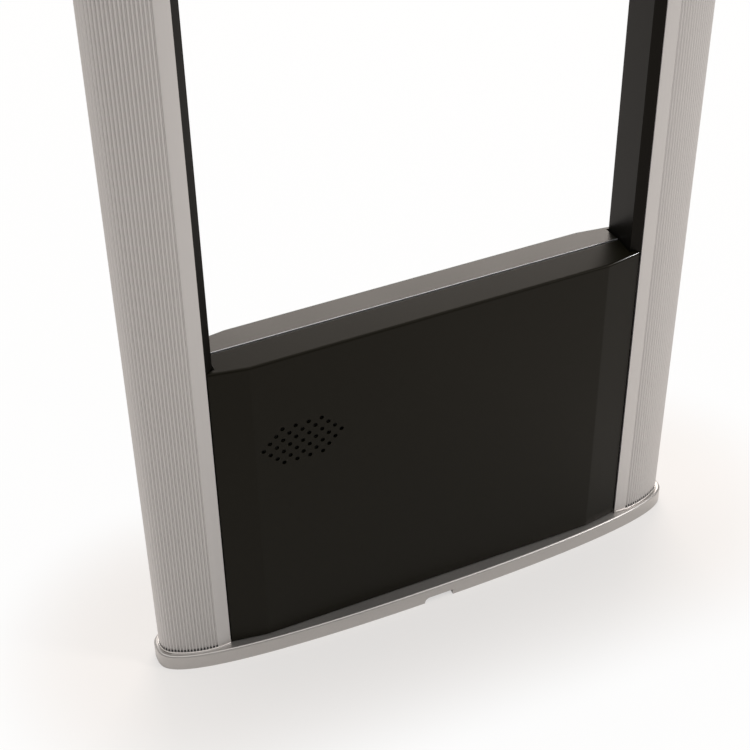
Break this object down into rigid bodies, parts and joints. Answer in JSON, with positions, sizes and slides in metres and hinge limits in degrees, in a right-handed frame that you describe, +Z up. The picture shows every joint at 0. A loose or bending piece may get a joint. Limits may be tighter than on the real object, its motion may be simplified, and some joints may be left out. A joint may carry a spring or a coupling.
{
  "type": "security gate",
  "caption": "Free-standing shop security gate: ribbed aluminium posts on a bowed base, with an antenna loop, an electronics housing at the foot and a lamp head on top.",
  "frame": {"origin": "on the floor at the centre of the base", "axes": "+Z up along the posts, +X along the width of the gate, -Y to the front with the sound holes"},
  "size_m": [0.3948, 0.062, 1.56],
  "materials": {
    "cast_silver": "satin silver paint",
    "post_alloy": "satin anodised",
    "channel_plastic": "satin",
    "cover_black": "satin powder coat",
    "screw_steel": "black zinc",
    "rubber_black": "matt",
    "zinc_sheet": "zinc plated",
    "nylon_white": "satin",
    "board_green": "satin",
    "part_black": "satin",
    "capacitor_sleeve": "gloss",
    "sink_alloy": "black anodised",
    "terminal_green": "satin",
    "status_green": "clear gloss",
    "switch_red": "satin",
    "trimmer_blue": "satin",
    "speaker_steel": "satin",
    "magnet_dark": "ferrite",
    "cone_paper": "paper",
    "cable_black": "satin",
    "lead_white": "satin",
    "lens_red": "clear red",
    "lamp_red": "gloss"
  },
  "bodies": {
    "frame": {"base_casting": "cast_silver", "top_cap": "cast_silver", "left_post": "post_alloy", "right_post": "post_alloy", "left_channel": "channel_plastic", "right_channel": "channel_plastic", "rear_cover": "cover_black", "head_front_cover": "cover_black", "head_rear_cover": "cover_black", "base_screws": "screw_steel", "cap_screws": "screw_steel", "chassis_screws": "screw_steel", "rear_cover_screws": "screw_steel", "board_screws": "screw_steel", "speaker_screws": "screw_steel", "head_screws": "screw_steel", "cable_grommet": "rubber_black", "chassis_tray": "zinc_sheet", "rear_spacers": "zinc_sheet", "board_standoffs": "zinc_sheet", "power_supply": "zinc_sheet", "switch_bracket": "zinc_sheet", "speaker_spacers": "zinc_sheet", "head_bracket": "zinc_sheet", "tuning_coils": "zinc_sheet", "volume_pot": "zinc_sheet", "cover_clips": "nylon_white", "main_board": "board_green", "lamp_board": "board_green", "board_chips": "part_black", "test_button_body": "part_black", "rocker_frame": "part_black", "fuse_holder": "part_black", "capacitors": "capacitor_sleeve", "heat_sink": "sink_alloy", "terminal_blocks": "terminal_green", "status_leds": "status_green", "dip_switch_body": "switch_red", "trimmer_body": "trimmer_blue", "speaker_frame": "speaker_steel", "speaker_magnet": "magnet_dark", "antenna_loop": "cable_black", "lamp_lead": "lead_white", "speaker_lead": "lead_white", "power_lead": "lead_white", "front_lens": "lens_red", "rear_lens": "lens_red", "lamp_leds": "lamp_red"},
    "front_cover": {"front_cover": "cover_black", "cover_studs": "zinc_sheet"},
    "selector_1": {"dip_lever_1": "nylon_white"},
    "selector_2": {"dip_lever_2": "nylon_white"},
    "selector_3": {"dip_lever_3": "nylon_white"},
    "selector_4": {"dip_lever_4": "nylon_white"},
    "test_plunger": {"test_plunger": "switch_red"},
    "volume_knob": {"volume_knob": "part_black"},
    "trimmer_rotor": {"trimmer_rotor": "nylon_white"},
    "power_rocker": {"power_rocker": "switch_red"},
    "fuse_cap": {"fuse_cap": "part_black"},
    "speaker_cone": {"speaker_cone": "cone_paper"}
  },
  "joints": [
    {"name": "front_cover_pull", "type": "slide", "parent": "frame", "child": "front_cover", "axis": [0, -1, 0], "range_m": [0, 0.12]},
    {"name": "selector_1_slide", "type": "slide", "parent": "frame", "child": "selector_1", "axis": [0, 0, 1], "range_m": [0, 0.0016]},
    {"name": "selector_2_slide", "type": "slide", "parent": "frame", "child": "selector_2", "axis": [0, 0, 1], "range_m": [0, 0.0016]},
    {"name": "selector_3_slide", "type": "slide", "parent": "frame", "child": "selector_3", "axis": [0, 0, 1], "range_m": [0, 0.0016]},
    {"name": "selector_4_slide", "type": "slide", "parent": "frame", "child": "selector_4", "axis": [0, 0, 1], "range_m": [0, 0.0016]},
    {"name": "test_press", "type": "slide", "parent": "frame", "child": "test_plunger", "axis": [0, 1, 0], "range_m": [0, 0.0015], "stiffness_N_per_m": 800, "springref_m": -0.0006},
    {"name": "volume_turn", "type": "hinge", "parent": "frame", "child": "volume_knob", "pos_m": [0.082, -0.0114, 0.1326], "axis": [0, -1, 0], "range_deg": [-150, 150]},
    {"name": "trimmer_turn", "type": "hinge", "parent": "frame", "child": "trimmer_rotor", "pos_m": [0.011, -0.0004, 0.1306], "axis": [0, -1, 0], "range_deg": [-130, 130]},
    {"name": "rocker_tip", "type": "hinge", "parent": "frame", "child": "power_rocker", "pos_m": [0.05, -0.0063, 0.068], "axis": [1, 0, 0], "range_deg": [-20, 0]},
    {"name": "fuse_cap_turn", "type": "hinge", "parent": "frame", "child": "fuse_cap", "pos_m": [0.082, -0.0108, 0.068], "axis": [0, -1, 0], "range_deg": [0, 60]},
    {"name": "cone_travel", "type": "slide", "parent": "frame", "child": "speaker_cone", "axis": [0, 1, 0], "range_m": [-0.0005, 0.0005], "stiffness_N_per_m": 900}
  ]
}
